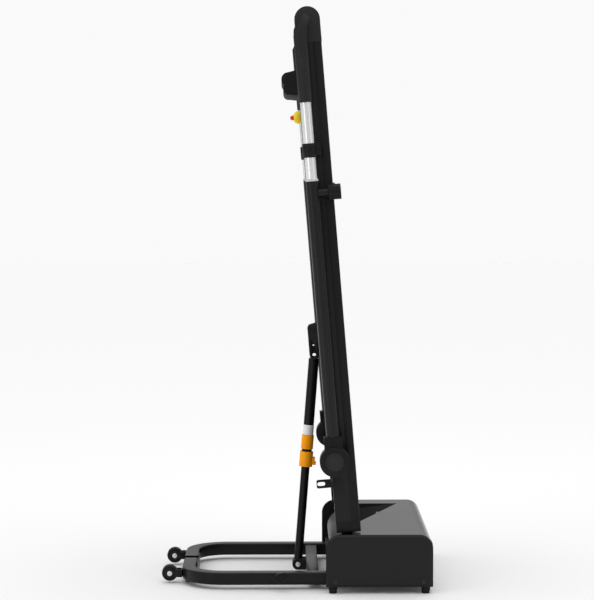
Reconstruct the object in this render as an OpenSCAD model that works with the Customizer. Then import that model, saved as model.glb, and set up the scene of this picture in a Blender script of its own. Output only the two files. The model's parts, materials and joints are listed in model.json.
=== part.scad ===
// Folding treadmill in its stowed pose: the deck stands on end over a U-shaped base.
// X runs from the transport wheels to the motor hood, Y across the belt, Z up.
// Left and right are those of a person on the belt facing the hood: left is +Y.
// Base parts are drawn from the point on the floor under the fold pivot.
// Deck parts are drawn in deck axes from the fold pivot: X out of the running
// surface, Z along the deck towards its rear tip.

/* [Deck] */
// Length of the deck from its front cap to its rear tip
deck_len = 1323; // [1100:10:1500]
// Overall width of the deck
deck_w = 544; // [500:2:640]
// Distance from the fold pivot to the front cap
deck_start = 60; // [58:1:75]
// Depth of the fold pivot above the underside of the deck
underside = 27; // [24:1:30]
// Depth of a steel side frame
frame_h = 40; // [36:1:48]
// Width of a steel side frame
frame_w = 40; // [36:1:48]
// Wall of a steel side frame
frame_wall = 2; // [1.5:0.5:2.5]
// Height of a foot rail above its side frame
foot_rail_h = 22; // [20:1:28]
// Wall of a foot rail
foot_rail_t = 2.8; // [2:0.1:3]
// Thickness of the running board
board_t = 12; // [10:1:15]
// Height of a rubber cushion under the board
cushion_t = 5; // [4:1:6]
// Width of the running belt
belt_w = 420; // [360:2:440]
// Thickness of the running belt
belt_t = 1.8; // [1.4:0.1:2.2]
// Radius of the front and rear rollers
roller_r = 25; // [23:0.5:25]
// Diameter of a roller axle
axle_d = 10; // [8:1:10]

/* [Fold] */
// Height of the fold pivot above the floor
pivot_h = 93.5; // [90:0.5:98]
// Lean of the stowed deck from the vertical
fold_lean = 4.6; // [3:0.1:8]
// Slope of the deck in use
use_slope = 1; // [0.9:0.05:1.4]
// Diameter of a fold pin
fold_pin_d = 16; // [12:1:18]
// Width of a hinge arm
arm_w = 16; // [14:1:22]
// Thickness of a hinge arm
arm_t = 12; // [8:1:14]

/* [Base] */
// Distance from the fold pivot to the outer end of the bow
base_reach = 428; // [400:1:440]
// Outer radius of the bow
bow_r = 110; // [80:1:140]
// Width of the base tube
rail_w = 35; // [30:1:40]
// Height of the base tube
rail_h = 32; // [30:1:36]
// Wall of the base tube
rail_wall = 2; // [1.5:0.5:3]
// Floor to the underside of the base tube
rail_z = 12; // [11:0.5:16]
// Radius of a transport wheel
wheel_r = 20.5; // [16:0.5:22]
// Width of a transport wheel
wheel_w = 22; // [16:1:26]
// Distance between the two transport wheels
wheel_gap = 260; // [220:1:300]
// Diameter of the wheel axles and of the strut pin
pin_d = 10; // [8:1:12]

/* [Hood] */
// Reach of the hood from the fold pivot towards the deck
hood_front = 59; // [55:1:70]
// Reach of the hood from the fold pivot to its back
hood_back = 211; // [180:1:260]
// Height of the hood above the floor
hood_top = 150.5; // [149:0.5:151]
// Floor to the underside of the hood
hood_z = 17.5; // [15:0.5:20]
// Corner radius of the hood
hood_r = 35; // [20:1:45]
// Thickness of a side panel
panel_t = 5; // [4:0.5:6]
// Width of the chamfer round a side panel
panel_chamfer = 7; // [4:0.5:10]
// Wall of the hood cover
cover_t = 2.5; // [2:0.5:3]
// Radius of the motor
motor_r = 40; // [34:1:41]
// Length of the motor
motor_len = 130; // [100:1:135]

/* [Handrails] */
// Distance from the side of the deck to the axis of a handrail
handrail_out = 28; // [26:0.5:34]
// Distance from the fold pivot to the handrail pivot, along the deck
handrail_u = 246.5; // [230:0.5:280]
// Depth of the handrail pivot below the fold pivot in use
handrail_drop = 17.5; // [17:0.5:19]
// Radius of the round pivot housing
housing_r = 37.5; // [32:0.5:40]
// Diameter of the lower handrail tube
lower_d = 32; // [30:0.5:36]
// Diameter of the sliding inner tube
inner_d = 28; // [24:0.5:28]
// Distance from the handrail pivot to the top of the lower tube
lower_top = 702; // [640:1:760]
// Distance from the handrail pivot to the start of the grip
grip_start = 898; // [880:1:960]
// Length of the grip
grip_len = 218; // [180:1:218]
// Diameter of the lock knob
knob_d = 39; // [30:1:44]

/* [Strut] */
// Distance from the fold pivot to the base pin of the strut
strut_base_x = 127.6; // [126:0.1:134]
// Height of the base pin of the strut
strut_base_z = 25.5; // [24:0.5:27]
// Distance from the fold pivot to the deck pin of the strut, along the deck
strut_u = 492.2; // [485:0.1:500]
// Depth of the deck pin of the strut below the deck
strut_drop = 17.7; // [16:0.1:19]
// Diameter of the lower strut tube
strut_lower_d = 22; // [20:0.5:22]
// Diameter of the upper strut tube
strut_upper_d = 27; // [27:0.5:28]
// Length of the upper strut tube
strut_upper_len = 289; // [270:1:300]

/* [Hidden] */
$fn = 64;

run_fit = 0.05;  // radial clearance of a shaft in its hole
slip = 0.4;      // radial clearance between telescoping tubes
part_gap = 0.3;  // gap between pieces that move past each other
big = 2000;      // longer than anything it cuts

black = [0.09, 0.09, 0.095];
dark = [0.05, 0.05, 0.055];
grey = [0.17, 0.17, 0.18];
steel = [0.72, 0.73, 0.75];

// Deck levels, measured out of the running surface from the fold pivot
deck_end = deck_start + deck_len;
deck_half = deck_w / 2;
frame_in = deck_half - frame_w;
low = -underside;
frame_top = low + frame_h;
rail_top = frame_top + foot_rail_h;
board_low = frame_top + cushion_t;
board_top = board_low + board_t;
belt_in = board_top + slip;
belt_out = belt_in + belt_t;
roller_n = belt_in - part_gap - roller_r;
belt_half = belt_w / 2;
foot_rail_in = belt_half + 4;

// Places along the deck
cap_len = 27;
frame_start = deck_start + cap_len;
rear_cap_len = 90;
rear_cap_start = deck_end - rear_cap_len;
frame_end = deck_end - 22;
front_roller_u = deck_start + 34;
rear_roller_u = deck_end - 40;
board_start = front_roller_u + roller_r + 12;
board_end = rear_cap_start - 2;

// Hinge arms, fold pins and the brackets that hold them
arm_y = deck_half - frame_w / 2;
arm_low = -15;
arm_end = 200;
arm_bolt_r = 7;
bracket_t = 7;
bracket_out = arm_y - arm_t / 2 - 3;
bracket_in = bracket_out - bracket_t;
eye_r = fold_pin_d / 2 + 10;

// Base frame
base_half = bracket_in - 1;
base_in = base_half - rail_w;
rail_top_z = rail_z + rail_h;
rail_end = hood_back - 21;
bow_gap = strut_upper_d + 3;
bow_plate_t = 3;
bow_plate_right = base_half - bow_r - 2;
bow_plate_left = 60;
saddle_w = 60;
cross_w = 29.5;
cross_back = strut_base_x - 51.1;
cross_front = cross_back + cross_w;
cross_top = rail_top_z - 3;
clevis_in = strut_lower_d / 2 + 2;
clevis_t = 4;
clevis_r = 15;
wheel_x = base_reach + 32;
wheel_z = 26;
fork_t = 3;
fork_h = 20;

// Index bolt that pins the deck to the base in use
latch_u = 175.5;
latch_n = -55;
latch_t = 4;
latch_y = base_in - 10;
latch_w = 22;
latch_low = -67;
slot_w = 10;
slot_len = 20;
bolt_d = 8;
bolt_travel = 12;
collar_t = 6;
bolt_collar_r = 8.5;
bolt_knob_d = 26;
bolt_knob_len = 14;
bolt_x = -latch_u * cos(use_slope) - latch_n * sin(use_slope);
bolt_z = pivot_h + latch_n * cos(use_slope) - latch_u * sin(use_slope);

// Hood
hood_in = deck_half + 20;
hood_out = hood_in + panel_t;
pan_z = rail_top_z;
pan_t = 3;
pan_front = 50;
cover_start = 8;
cover_notch = 26;
recess_tip_x = 145;
recess_far = 0.76 * hood_in;
recess_near = -0.53 * hood_in;
recess_depth = 13;
screw_d = 5;
screw_head_d = 9;
screw_in_x = 24;
screw_in_z = 13;
foot_d = 20;
foot_in_x = 18;
foot_y = hood_in - 13;
bow_foot_y = 118;
inlet_y = -170;
inlet_z = 97;
inlet_w = 64;
inlet_h = 32;
inlet_proud = 5;
socket_w = 28;
socket_h = 20;
socket_deep = 18;
switch_w = 14;
switch_h = 22;
switch_axis = 4;
switch_hub = 5;
window_x = 110;
window_l = 56;
window_w = 150;
window_t = 1;

// Drive
pulley_y = belt_half + 4;
pulley_w = frame_in - 4 - pulley_y;
motor_pulley_r = 14;
roller_pulley_r = 22;
drive_belt_t = 3;
motor_y = pulley_y - 9 - motor_len;
shaft_d = 12;
shroud_r = motor_r + 6;
shroud_t = 2;

// Rear stand, whose tip meets the floor when the deck is down
stand_tip_u = deck_end - 173;
stand_tip_n = (stand_tip_u * sin(use_slope) - pivot_h + part_gap) / cos(use_slope);
stand_w = 400;
stand_lobe_r = 17;     // round foot that stands on the floor
stand_heel_r = 13;     // smaller lobe towards the front
stand_heel = 26;       // distance between the centres of the two lobes
strap_t = 2.4;

// Handrails
handrail_y = deck_half + handrail_out;
housing_in = handrail_y - 18;
housing_out = handrail_y + 25;
handrail_pin_d = 12;
socket_len = 62;
socket_square = 46;
socket_grooves = 5;
knob_s = lower_top - 30;
knob_boss_d = 20;
knob_boss_out = 38;
knob_out = 70;
knob_flutes = 12;
knob_screw_d = 8;
bushing_len = 6;
inner_start = lower_top - 282;
inner_end = grip_start + grip_len - 60;
clip_s = lower_top + 59;
clip_len = 35;
clip_r = inner_d / 2 + 3;
clip_lug_out = 23;
clip_lug_r = 16;
grip_r = inner_d / 2 + 2.6;
blade_len = 54;
e_stop_s = grip_start - 20;
e_stop_len = 36;
e_stop_out = 28;
button_out = 38;
button_r = 7;
button_travel = 3;

// Strut, from its base pin towards its deck pin
function deck_point(n, u) = [
  n * cos(fold_lean) - u * sin(fold_lean),
  n * sin(fold_lean) + u * cos(fold_lean)
];
strut_n = low - strut_drop;
strut_foot = [-strut_base_x, strut_base_z - pivot_h];
strut_head = deck_point(strut_n, strut_u);
strut_line = strut_head - strut_foot;
strut_len = norm(strut_line);
strut_angle = atan2(strut_line[0], strut_line[1]);
strut_lower_len = 330;
strut_eye_r = 12;
strut_plug = 30;
upper_start = strut_len - strut_upper_len;
gas_r = 9;
gas_rod_r = 4;
gas_top = strut_len - 20;
gas_len = 230;
collar_len = 40;
collar_r = 17.5;
collar_start = upper_start - 8;
stop_start = collar_start + collar_len + 7;
cheek_in = strut_upper_d / 2 + 1.5;
cheek_t = 4;
bracket_u = strut_u + 85;

// The origin is on the floor in the middle of the length of the object
mid_x = (hood_back + inlet_proud - wheel_x - wheel_r) / 2;

// Drawn from the floor under the fold pivot
module in_base() {
  translate([-mid_x, 0, 0]) children();
}

// Drawn in deck axes from the fold pivot
module in_deck() {
  translate([-mid_x, 0, pivot_h]) rotate([0, -fold_lean, 0]) children();
}

// Drawn in handrail axes from the left handrail pivot, mirrored for the right one
module in_handrail(side) {
  in_deck() on_side(side) translate([-handrail_drop, handrail_y, handrail_u]) children();
}

// Drawn along the strut from its base pin
module in_strut() {
  translate([-mid_x - strut_base_x, 0, strut_base_z]) rotate([0, strut_angle, 0]) children();
}

// The left side as drawn, or mirrored for the right side
module on_side(side) {
  mirror([0, side == "left" ? 0 : 1, 0]) children();
}

module both_sides() {
  children();
  mirror([0, 1, 0]) children();
}

// A box between two corners
module span(from, to) {
  translate(from) cube(to - from);
}

// A cylinder along Y between two places
module across(from, to, r) {
  translate([0, to, 0]) rotate([90, 0, 0]) cylinder(r = r, h = to - from);
}

// A cylinder along X between two places
module outward(from, to, r) {
  translate([from, 0, 0]) rotate([0, 90, 0]) cylinder(r = r, h = to - from);
}

// A flat shape given in X and Z, extruded along Y between two places
module plate(from, to) {
  translate([0, to, 0]) rotate([90, 0, 0]) linear_extrude(to - from) children();
}

// A rectangle between two corners with round corners
module round_box(from, to, r) {
  translate(from + [r, 0]) square([to[0] - from[0] - 2 * r, to[1] - from[1]]);
  translate(from + [0, r]) square([to[0] - from[0], to[1] - from[1] - 2 * r]);
  for (x = [from[0] + r, to[0] - r], y = [from[1] + r, to[1] - r]) {
    translate([x, y]) circle(r);
  }
}

// A cross-section given in X and Y, extruded along Z
module plate_along(from, to) {
  translate([0, 0, from]) linear_extrude(to - from) children();
}

// A cylinder along Z between two heights
module cylinder_between(r, from, to) {
  translate([0, 0, from]) cylinder(r = r, h = to - from);
}

module tube(r, wall, from, to) {
  translate([0, 0, from]) difference() {
    cylinder(r = r, h = to - from);
    translate([0, 0, -1]) cylinder(r = r - wall, h = to - from + 2);
  }
}

// A thin oval slice, wide in X
module oval_slice(half, thin) {
  linear_extrude(1) {
    for (x = [-1, 1]) {
      translate([x * (half - thin), 0]) circle(thin, $fn = 32);
    }
    translate([-half + thin, -thin]) square([2 * (half - thin), 2 * thin]);
  }
}

// ---- Base ----

// Rail, quarter bow and half of the bow's end, shrunk by inset on every face
module base_path(inset) {
  module section() {
    translate([inset, inset]) square([rail_w - 2 * inset, rail_h - 2 * inset]);
  }
  bow_x = -(base_reach - bow_r);
  bow_y = base_half - bow_r;
  end = inset > 0 ? 1 : 0;
  translate([bow_x, base_in, rail_z]) rotate([90, 0, 90]) {
    linear_extrude(rail_end - bow_x + end) section();
  }
  translate([bow_x, bow_y, rail_z]) rotate([0, 0, 90]) {
    rotate_extrude(angle = 90) translate([bow_r - rail_w, 0]) section();
  }
  translate([-base_reach + rail_w, bow_gap / 2 - end, rail_z]) rotate([90, 0, 180]) {
    linear_extrude(bow_y - bow_gap / 2 + end) section();
  }
}

module base_half_frame() {
  difference() {
    base_path(0);
    base_path(rail_wall);
  }
}

// The right half carries the collar of the index bolt
module base_frame_right() {
  color(black) in_base() on_side("right") difference() {
    union() {
      base_half_frame();
      translate([bolt_x, 0, bolt_z]) {
        across(base_half - rail_wall, base_half + collar_t, bolt_collar_r);
      }
    }
    translate([bolt_x, 0, bolt_z]) across(base_in - 1, base_half + collar_t + 1, bolt_d / 2 + run_fit);
  }
}

// The left half carries the plates that join the halves, open in the middle for the strut
module base_frame_left() {
  inner = -base_reach + rail_w;
  gap = bow_gap / 2;
  plate_low = rail_z - bow_plate_t;
  color(black) in_base() {
    base_half_frame();
    span([-base_reach, -saddle_w, plate_low], [inner, saddle_w, rail_z]);
    span([inner, gap, plate_low], [inner + bow_plate_t, bow_plate_left, rail_top_z]);
    span([inner, -gap, plate_low], [inner + bow_plate_t, gap, rail_z + bow_plate_t]);
    span([inner + 0.5, -bow_plate_right, plate_low], [inner + bow_plate_t, -gap, rail_top_z]);
  }
}

// Cross member with the clevis for the foot of the strut
module cross_member() {
  color(black) in_base() {
    difference() {
      span([-cross_front, -base_in, rail_z], [-cross_back, base_in, cross_top]);
      span([-cross_front + rail_wall, -base_in - 1, rail_z + rail_wall],
           [-cross_back - rail_wall, base_in + 1, cross_top - rail_wall]);
    }
    both_sides() difference() {
      union() {
        span([-strut_base_x, clevis_in, strut_base_z - clevis_r],
             [-cross_front, clevis_in + clevis_t, strut_base_z + clevis_r]);
        translate([-strut_base_x, 0, strut_base_z]) across(clevis_in, clevis_in + clevis_t, clevis_r);
      }
      translate([-strut_base_x, 0, strut_base_z]) across(0, big, pin_d / 2);
    }
  }
}

// Floor pan of the hood with the fold brackets and the motor saddles
module hood_chassis() {
  saddle_half = 19;
  saddle_t = 4;
  color(dark) in_base() {
    span([-pan_front, -hood_in, pan_z], [rail_end, hood_in, pan_z + pan_t]);
    both_sides() translate([0, 0, pivot_h]) plate(bracket_in, bracket_out) difference() {
      union() {
        translate([-24, pan_z + pan_t - pivot_h]) square([48, pivot_h - pan_z - pan_t]);
        circle(24);
      }
      circle(fold_pin_d / 2);
    }
    for (y = [motor_y + 15, motor_y + motor_len - 15 - saddle_t]) {
      difference() {
        span([-saddle_half, y, pan_z + pan_t], [saddle_half, y + saddle_t, pivot_h - motor_r * 0.7]);
        translate([0, 0, pivot_h]) across(y - 1, y + saddle_t + 1, motor_r);
      }
    }
  }
}

module fold_pins() {
  color(steel) in_base() both_sides() translate([0, 0, pivot_h]) {
    across(bracket_in, arm_y + arm_t / 2 + part_gap + 1, fold_pin_d / 2);
    across(arm_y + arm_t / 2 + part_gap, arm_y + arm_t / 2 + 4, fold_pin_d / 2 + 4);
  }
}

// Two flat cheeks for each transport wheel, joined by a plate on the bow
module wheel_forks() {
  half = wheel_w / 2 + 1;
  low_z = wheel_z - fork_h / 2;
  color(dark) in_base() both_sides() {
    for (y = [wheel_gap / 2 - half - fork_t, wheel_gap / 2 + half]) {
      difference() {
        union() {
          span([-wheel_x, y, low_z], [-base_reach - fork_t, y + fork_t, low_z + fork_h]);
          translate([-wheel_x, 0, wheel_z]) across(y, y + fork_t, fork_h / 2);
        }
        translate([-wheel_x, 0, wheel_z]) across(y - 1, y + fork_t + 1, pin_d / 2);
      }
    }
    span([-base_reach - fork_t, wheel_gap / 2 - half - fork_t, low_z],
         [-base_reach, wheel_gap / 2 + half + fork_t, low_z + fork_h]);
  }
}

// Rivets with low round heads: two wheel axles and the foot pin of the strut
module axle_pins() {
  module rivet(half) {
    across(-half, half, pin_d / 2);
    across(half, half + 2, pin_d / 2 + 1.5);
    across(-half - 2, -half, pin_d / 2 + 1.5);
  }
  color(steel) in_base() {
    both_sides() translate([-wheel_x, wheel_gap / 2, wheel_z]) rivet(wheel_w / 2 + 1 + fork_t);
    translate([-strut_base_x, 0, strut_base_z]) rivet(clevis_in + clevis_t);
  }
}

module wheel(side) {
  color(dark) in_base() on_side(side) translate([-wheel_x, wheel_gap / 2, wheel_z]) difference() {
    rotate([90, 0, 0]) rotate_extrude() difference() {
      translate([0, -wheel_w / 2]) round_box([-wheel_r, 0], [wheel_r, wheel_w], 2.5);
      translate([-big, -big / 2]) square([big, big]);
      for (face = [-1, 1]) {
        translate([pin_d / 2 + 4, face * wheel_w / 2 - 1.5]) square([wheel_r - pin_d / 2 - 8, 3]);
      }
    }
    across(-wheel_w, wheel_w, pin_d / 2 + run_fit);
  }
}

module feet() {
  module foot(height) {
    cylinder(d1 = foot_d, d2 = foot_d + 3, h = height);
  }
  color(dark) in_base() both_sides() {
    for (x = [-hood_front + foot_in_x, hood_back - foot_in_x]) {
      translate([x, foot_y, 0]) foot(hood_z);
    }
    translate([-base_reach + rail_w / 2, bow_foot_y, 0]) foot(rail_z);
  }
}

// Handle bolt, parked pulled out; pushed in it holds the deck down on the base
module index_bolt() {
  knob_at = base_half + collar_t + bolt_travel + 0.5;
  color(dark) in_base() on_side("right") translate([bolt_x, 0, bolt_z]) {
    across(base_in + 0.5, knob_at + 1, bolt_d / 2);
    difference() {
      across(knob_at, knob_at + bolt_knob_len, bolt_knob_d / 2);
      across(knob_at + bolt_knob_len - 3, knob_at + bolt_knob_len + 1, bolt_knob_d / 2 - 4);
    }
  }
}

// ---- Hood ----

// Side outline of the hood, shrunk by inset
module hood_outline(inset) {
  left = -hood_front + inset;
  right = hood_back - inset;
  foot = hood_z + inset / 2;
  top = hood_top - inset;
  r = hood_r - inset;
  translate([left, foot]) square([right - left, top - r - foot]);
  translate([left + r, foot]) square([right - left - 2 * r, top - foot]);
  for (x = [left + r, right - r]) {
    translate([x, top - r]) circle(r, $fn = 96);
  }
}

// Moulded side panel with a chamfered edge and a flange that sits on the feet
module side_panel(side) {
  face = hood_out - 1;
  color(black) in_base() on_side(side) difference() {
    union() {
      plate(hood_in, hood_in + 1) hood_outline(0);
      hull() {
        plate(hood_in + 1, hood_in + 1.2) hood_outline(0);
        plate(hood_out - 0.2, hood_out) hood_outline(panel_chamfer);
      }
      span([-hood_front + 4, hood_in - 26, hood_z], [hood_back - 4, hood_in, hood_z + 3]);
    }
    for (x = [-hood_front + screw_in_x, hood_back - screw_in_x]) {
      translate([x, 0, hood_z + screw_in_z]) {
        across(hood_in - 1, hood_out + 1, screw_d / 2);
        across(face - 1, hood_out + 1, screw_head_d / 2);
      }
    }
  }
}

// Outside and inside of the cover seen from the side: open towards the deck
module cover_outline(inset) {
  difference() {
    hood_outline(inset);
    translate([-big / 2, -big / 2]) square([big / 2 + cover_start, big]);
    translate([-big / 2, -big / 2]) square([big, big / 2 + hood_z]);
  }
}

// Corner points of the sunken triangle beside the deck, seen from above
recess_points = [
  [cover_start, recess_near],
  [recess_tip_x, recess_far],
  [cover_start, recess_far]
];

// Top and back of the hood in one bent shell, with a sloping recess beside the deck
module hood_cover() {
  slope = atan(recess_depth / (recess_tip_x - cover_start));
  color(grey) in_base() difference() {
    union() {
      difference() {
        plate(-hood_in, hood_in) cover_outline(0);
        plate(-hood_in - 1, hood_in + 1) hood_outline(cover_t);
        span([cover_start - 1, -hood_in - 1, 0], [hood_back - cover_t, hood_in + 1, pan_z]);
        linear_extrude(big) polygon(recess_points);
      }
      intersection() {
        translate([0, 0, hood_top - big]) linear_extrude(big) polygon(recess_points);
        translate([recess_tip_x, 0, hood_top]) rotate([0, -slope, 0]) {
          span([-big, -big / 2, -cover_t], [0, big / 2, 0]);
        }
      }
      recess_walls(slope);
    }
    span([0, pulley_y - 6, hood_z], [cover_notch, pulley_y + pulley_w + 6, big]);
    translate([0, inlet_y, inlet_z]) span([hood_back - 10, -inlet_w / 2 + 4, -inlet_h / 2 + 4],
                                         [hood_back + 1, inlet_w / 2 - 4, inlet_h / 2 - 4]);
    span([window_x - window_l / 2, -window_w / 2, hood_top - window_t],
         [window_x + window_l / 2, window_w / 2, hood_top + 1]);
  }
}

// Thin upright walls between the cover and the sloping floor of the recess
module recess_walls(slope) {
  wall = 1.6;
  intersection() {
    difference() {
      translate([0, 0, hood_top - recess_depth - cover_t]) linear_extrude(recess_depth + cover_t) {
        difference() {
          polygon([
            [cover_start, recess_near - 3 * wall],
            [recess_tip_x + 3 * wall, recess_far + wall],
            [cover_start, recess_far + wall]
          ]);
          polygon(recess_points);
        }
      }
      translate([recess_tip_x, 0, hood_top - cover_t]) rotate([0, -slope, 0]) {
        span([-big, -big / 2, -big], [big, big / 2, 0]);
      }
    }
    span([cover_start, -hood_in, 0], [hood_back, hood_in, hood_top]);
  }
}

// Curved guard between the motor and the deck
module motor_shroud() {
  lean = 12;
  color(dark) in_base() translate([0, 0, pivot_h]) {
    intersection() {
      rotate([-90, 0, 0]) translate([0, 0, -base_in + 10]) tube(shroud_r, shroud_t, 0, 2 * base_in - 20);
      rotate([0, -lean, 0]) span([-big, -big, 0], [0, big, big]);
    }
    intersection() {
      rotate([-90, 0, 0]) translate([0, 0, -base_in + 10]) tube(shroud_r, shroud_t, 0, 2 * base_in - 20);
      span([-big, -big, pan_z + pan_t - pivot_h], [-20, big, 1]);
    }
  }
}

module panel_screws() {
  color(grey) in_base() both_sides() {
    for (x = [-hood_front + screw_in_x, hood_back - screw_in_x]) {
      translate([x, 0, hood_z + screw_in_z]) {
        across(hood_in - 8, hood_out - 2, screw_d / 2);
        difference() {
          across(hood_out - 2, hood_out - 0.5, screw_head_d / 2);
          across(hood_out - 1.3, hood_out, 1.8, $fn = 6);
        }
      }
    }
  }
}

// ---- Drive ----

module motor() {
  color(grey) in_base() translate([0, 0, pivot_h]) difference() {
    union() {
      across(motor_y + 12, motor_y + motor_len - 12, motor_r);
      across(motor_y, motor_y + motor_len, motor_r - 4);
    }
    across(motor_y + motor_len - 30, motor_y + motor_len + 1, shaft_d / 2 + run_fit);
  }
}

// Shaft stub and grooved pulley, on the fold axis so that the drive belt stays tight
module motor_pulley() {
  color(steel) in_base() translate([0, 0, pivot_h]) {
    across(motor_y + motor_len - 28, pulley_y + pulley_w, shaft_d / 2);
    across(pulley_y, pulley_y + pulley_w, motor_pulley_r);
  }
}

// Circuit board on four stand-offs with its heat sink and capacitor
module control_board() {
  left = 80;
  right = 176;
  near = -110;
  far = 10;
  level = pan_z + pan_t + 8;
  color([0.1, 0.3, 0.15]) in_base() {
    span([left, near, level], [right, far, level + 1.6]);
    for (x = [left + 6, right - 6], y = [near + 6, far - 6]) {
      translate([x, y, pan_z + pan_t]) cylinder(d = 6, h = level - pan_z - pan_t);
    }
    span([left + 10, near + 14, level + 1.6], [left + 40, near + 84, level + 26]);
    translate([right - 24, far - 30, level + 1.6]) cylinder(d = 25, h = 32);
  }
}

// Moulded mains panel on the back of the hood
module power_inlet() {
  socket_y = -inlet_w / 2 + 6;
  color(dark) in_base() translate([hood_back, inlet_y, inlet_z]) difference() {
    union() {
      span([0, -inlet_w / 2, -inlet_h / 2], [inlet_proud, inlet_w / 2, inlet_h / 2]);
      span([-socket_deep - 2, -inlet_w / 2 + 4, -inlet_h / 2 + 4], [0, inlet_w / 2 - 4, inlet_h / 2 - 4]);
    }
    span([inlet_proud - socket_deep, socket_y, -socket_h / 2],
         [big, socket_y + socket_w, socket_h / 2]);
    translate([0, inlet_w / 2 - 6 - switch_w, -switch_h / 2]) {
      span([-12, -part_gap, -part_gap], [big, switch_w + part_gap, switch_h + part_gap]);
    }
  }
}

// Rocker that tips about a line across its middle
module power_switch() {
  y = inlet_y + inlet_w / 2 - 6 - switch_w;
  color([0.6, 0.08, 0.06]) in_base() translate([hood_back, 0, inlet_z]) {
    plate(y, y + switch_w) {
      translate([-switch_axis, 0]) circle(switch_hub);
      polygon([
        [-switch_axis, 0], [2.5, switch_h / 2 - 1.5], [4, switch_h / 2 - 1.5],
        [1.5, 0], [2.5, -switch_h / 2 + 1.5], [0.5, -switch_h / 2 + 1.5]
      ]);
    }
  }
}

module display_window() {
  color(dark) in_base() {
    span([window_x - window_l / 2, -window_w / 2, hood_top - window_t],
         [window_x + window_l / 2, window_w / 2, hood_top]);
  }
}

// Flat loop round the two pulleys
module drive_belt() {
  module loop(grow) {
    hull() {
      circle(motor_pulley_r + grow, $fn = 48);
      translate([roller_n, front_roller_u]) circle(roller_pulley_r + grow, $fn = 48);
    }
  }
  color(dark) in_deck() plate(pulley_y + 1, pulley_y + pulley_w - 1) difference() {
    loop(part_gap + drive_belt_t);
    loop(part_gap + 0.1);
  }
}

// ---- Deck ----

// Steel box section, open at both ends
module side_frame(side) {
  color(black) in_deck() on_side(side) difference() {
    span([low, frame_in, frame_start], [frame_top, deck_half, frame_end]);
    span([low + frame_wall, frame_in + frame_wall, frame_start - 1],
         [frame_top - frame_wall, deck_half - frame_wall, frame_end + 1]);
    for (u = [front_roller_u, rear_roller_u]) {
      translate([roller_n, 0, u]) across(frame_in - 1, frame_in + frame_wall + 1, axle_d / 2 + run_fit);
    }
    translate([-handrail_drop, 0, handrail_u]) {
      across(deck_half - frame_wall - 1, deck_half + 1, handrail_pin_d / 2);
    }
  }
}

// Angle moulding over the edge of the board, with a shadow line above the frame
module foot_rails() {
  color(dark) in_deck() both_sides() {
    plate_along(frame_start, rear_cap_start) polygon([
      [frame_top, deck_half - foot_rail_t],
      [frame_top, deck_half],
      [rail_top - 4, deck_half],
      [rail_top - 1.2, deck_half - 1.2],
      [rail_top, deck_half - 4],
      [rail_top, foot_rail_in],
      [rail_top - foot_rail_t, foot_rail_in],
      [rail_top - foot_rail_t, deck_half - foot_rail_t]
    ]);
  }
}

// Hollow moulded caps on the front ends of the side frames
module front_caps() {
  wall = 2.5;
  color(black) in_deck() both_sides() difference() {
    span([low, frame_in - 2, deck_start], [rail_top, deck_half, frame_start]);
    span([low + wall, frame_in - 3, deck_start + wall],
         [rail_top - wall, deck_half - wall, frame_start + 1]);
    span([arm_low - 1.5, arm_y - arm_t / 2 - 1.5, deck_start - 1],
         [arm_low + arm_w + 1.5, arm_y + arm_t / 2 + 1.5, deck_start + wall + 1]);
  }
}

// Round-ended caps that sleeve over the rear ends of the frames
module rear_caps() {
  proud = 0.8;
  r = (rail_top - low) / 2 + proud;
  mid = (rail_top + low) / 2;
  inner = foot_rail_in - 2;
  color(grey) in_deck() both_sides() difference() {
    plate(inner, deck_half + proud) {
      translate([mid - r, rear_cap_start]) square([2 * r, rear_cap_len - r]);
      translate([mid, deck_end - r]) circle(r, $fn = 96);
    }
    span([low, frame_in, rear_cap_start - 1], [frame_top, deck_half, frame_end]);
    translate([roller_n, 0, rear_roller_u]) across(inner - 1, frame_in + 1, axle_d / 2 + 1);
    span([roller_n - 12, inner - 1, rear_roller_u - 12], [roller_n + 12, frame_in - 6, rear_roller_u + 12]);
  }
}

module running_board() {
  color([0.12, 0.1, 0.09]) in_deck() {
    span([board_low, -deck_half + 10, board_start], [board_top, deck_half - 10, board_end]);
  }
}

// Endless belt round both rollers
module running_belt() {
  module loop(r) {
    translate([roller_n - r, front_roller_u]) square([2 * r, rear_roller_u - front_roller_u]);
    for (u = [front_roller_u, rear_roller_u]) {
      translate([roller_n, u]) circle(r, $fn = 96);
    }
  }
  color(dark) in_deck() plate(-belt_half, belt_half) difference() {
    loop(belt_out - roller_n);
    loop(belt_in - roller_n);
  }
}

module deck_cushions() {
  count = 4;
  pad_r = 11;
  first = board_start + 60;
  step = (board_end - 60 - first) / (count - 1);
  color(dark) in_deck() both_sides() for (i = [0 : count - 1]) {
    translate([0, deck_half - 22, first + i * step]) outward(frame_top, board_low, pad_r);
  }
}

// Box tubes inside the belt loop, under the board
module deck_cross_members() {
  depth = 16;
  width = 30;
  wall = 2;
  color(dark) in_deck() for (part = [0.2, 0.5, 0.8]) {
    u = board_start + part * (board_end - board_start);
    difference() {
      span([frame_top - depth, -frame_in, u - width / 2], [frame_top, frame_in, u + width / 2]);
      span([frame_top - depth + wall, -frame_in - 1, u - width / 2 + wall],
           [frame_top - wall, frame_in + 1, u + width / 2 - wall]);
    }
  }
}

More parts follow.
